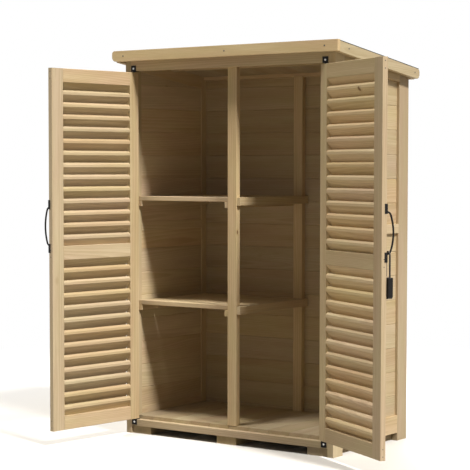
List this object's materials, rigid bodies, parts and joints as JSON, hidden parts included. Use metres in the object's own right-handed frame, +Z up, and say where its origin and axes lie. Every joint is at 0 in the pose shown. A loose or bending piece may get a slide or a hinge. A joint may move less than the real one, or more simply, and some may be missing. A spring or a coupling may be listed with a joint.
{
  "type": "garden storage cabinet",
  "caption": "Tall softwood garden cabinet with a sloping felted roof, two louvred doors on pins, half-width slatted shelves and a tall bay for long tools.",
  "frame": {"origin": "on the ground in the middle of the body, at the centre of the middle skid's underside", "axes": "+X to the right seen from the front, +Y to the back of the cabinet, +Z up; the doors are drawn open as pictured"},
  "size_m": [1.4593, 1.0613, 1.6],
  "materials": {
    "framing_timber": "planed pale softwood, unpainted",
    "cladding_boards": "planed pale softwood boards with eased edges",
    "louvre_slats": "planed pale softwood slats",
    "floor_and_shelves": "planed pale softwood",
    "roof_edge_boards": "planed pale softwood",
    "roof_felt": "black mineral roofing felt",
    "black_steel": "black powder coat, satin",
    "shackle_steel": "blackened steel bar",
    "zinc_screws": "bright zinc plate",
    "padlock_plug": "nickel-plated key plug"
  },
  "bodies": {
    "cabinet": {"back_boards": "cladding_boards", "back_bottom_rail": "framing_timber", "back_left_stile": "framing_timber", "back_middle_rail": "framing_timber", "back_right_stile": "framing_timber", "back_top_rail": "framing_timber", "divider_front_post": "framing_timber", "divider_rear_batten": "framing_timber", "fascia_nails": "zinc_screws", "floor_bearers": "framing_timber", "floor_boards": "floor_and_shelves", "front_bottom_rail": "framing_timber", "front_fascia": "roof_edge_boards", "hinge_brackets": "black_steel", "hinge_screws": "zinc_screws", "left_bottom_rail": "framing_timber", "left_fascia": "roof_edge_boards", "left_front_post": "framing_timber", "left_middle_rail": "framing_timber", "left_rear_post": "framing_timber", "left_skid": "framing_timber", "left_top_rail": "framing_timber", "left_wall_boards": "cladding_boards", "lintel": "framing_timber", "lower_shelf_bearers": "floor_and_shelves", "lower_shelf_slats": "floor_and_shelves", "middle_skid": "framing_timber", "rear_fascia": "roof_edge_boards", "right_bottom_rail": "framing_timber", "right_fascia": "roof_edge_boards", "right_front_post": "framing_timber", "right_middle_rail": "framing_timber", "right_rear_post": "framing_timber", "right_skid": "framing_timber", "right_top_rail": "framing_timber", "right_wall_boards": "cladding_boards", "roof_battens": "cladding_boards", "roof_boards": "cladding_boards", "roof_felt": "roof_felt", "upper_shelf_bearers": "floor_and_shelves", "upper_shelf_slats": "floor_and_shelves"},
    "left_door": {"left_door_bottom_rail": "framing_timber", "left_door_handle": "black_steel", "left_door_handle_screws": "zinc_screws", "left_door_hinge_stile": "framing_timber", "left_door_lock_stile": "framing_timber", "left_door_middle_rail": "framing_timber", "left_door_slats": "louvre_slats", "left_door_top_rail": "framing_timber"},
    "right_door": {"right_door_bottom_rail": "framing_timber", "right_door_handle": "black_steel", "right_door_handle_screws": "zinc_screws", "right_door_hinge_stile": "framing_timber", "right_door_lock_stile": "framing_timber", "right_door_middle_rail": "framing_timber", "right_door_slats": "louvre_slats", "right_door_top_rail": "framing_timber"},
    "padlock_shackle": {"padlock_shackle": "shackle_steel"},
    "padlock_body": {"padlock_body": "black_steel", "padlock_key_plug": "padlock_plug"}
  },
  "joints": [
    {"name": "left_door_hinge", "type": "hinge", "parent": "cabinet", "child": "left_door", "pos_m": [-0.469, -0.283, 0.787], "axis": [0, 0, -1], "range_deg": [-97, 54.5]},
    {"name": "right_door_hinge", "type": "hinge", "parent": "cabinet", "child": "right_door", "pos_m": [0.469, -0.283, 0.787], "axis": [0, 0, 1], "range_deg": [-149.6, 1.9]},
    {"name": "padlock_swing", "type": "hinge", "parent": "right_door", "child": "padlock_shackle", "pos_m": [0.87187, -0.5014, 0.80844], "axis": [0.506, 0.8625, 0], "range_deg": [-15, 10]},
    {"name": "padlock_close", "type": "slide", "parent": "padlock_shackle", "child": "padlock_body", "axis": [0, 0, 1], "range_m": [0, 0.014]}
  ]
}
